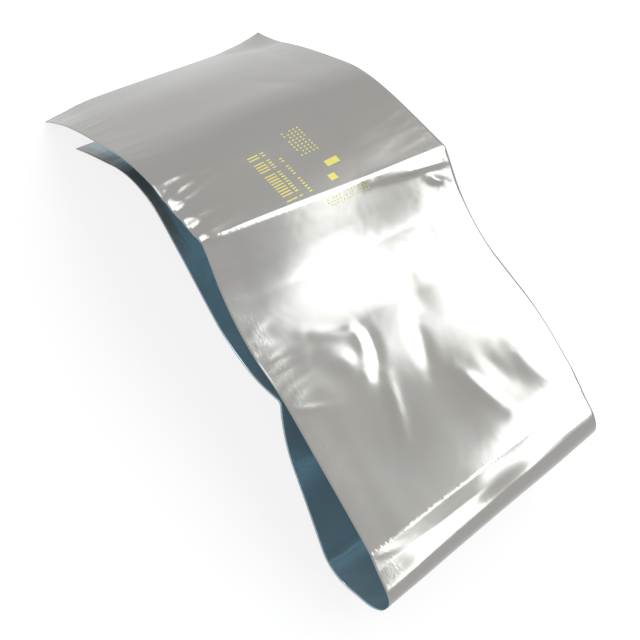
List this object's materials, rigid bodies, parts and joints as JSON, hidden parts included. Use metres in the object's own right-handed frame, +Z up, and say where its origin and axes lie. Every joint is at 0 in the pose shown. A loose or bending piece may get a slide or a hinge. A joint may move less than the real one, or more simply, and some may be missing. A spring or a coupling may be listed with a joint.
{
  "type": "anti static shielding bag",
  "caption": "Long narrow metallised static shielding bag, open at one end, folded in quarters and sprung open so that it stands as a low arch on its own creases.",
  "frame": {"origin": "middle of the bounding box in X and Y, on the surface the bag rests on", "axes": "X runs from the open mouth's end of the folded bag toward the loose bend at its far end, Y runs across the bag from one side seal to the other, Z is up from the surface it rests on"},
  "size_m": [0.2554, 0.1172, 0.0968],
  "materials": {
    "shielding_film": "semi-transparent metallised plastic film, silver grey, glossy, bluish where it is seen in shade"
  },
  "bodies": {
    "root": {"film_bag": "shielding_film"}
  },
  "joints": []
}
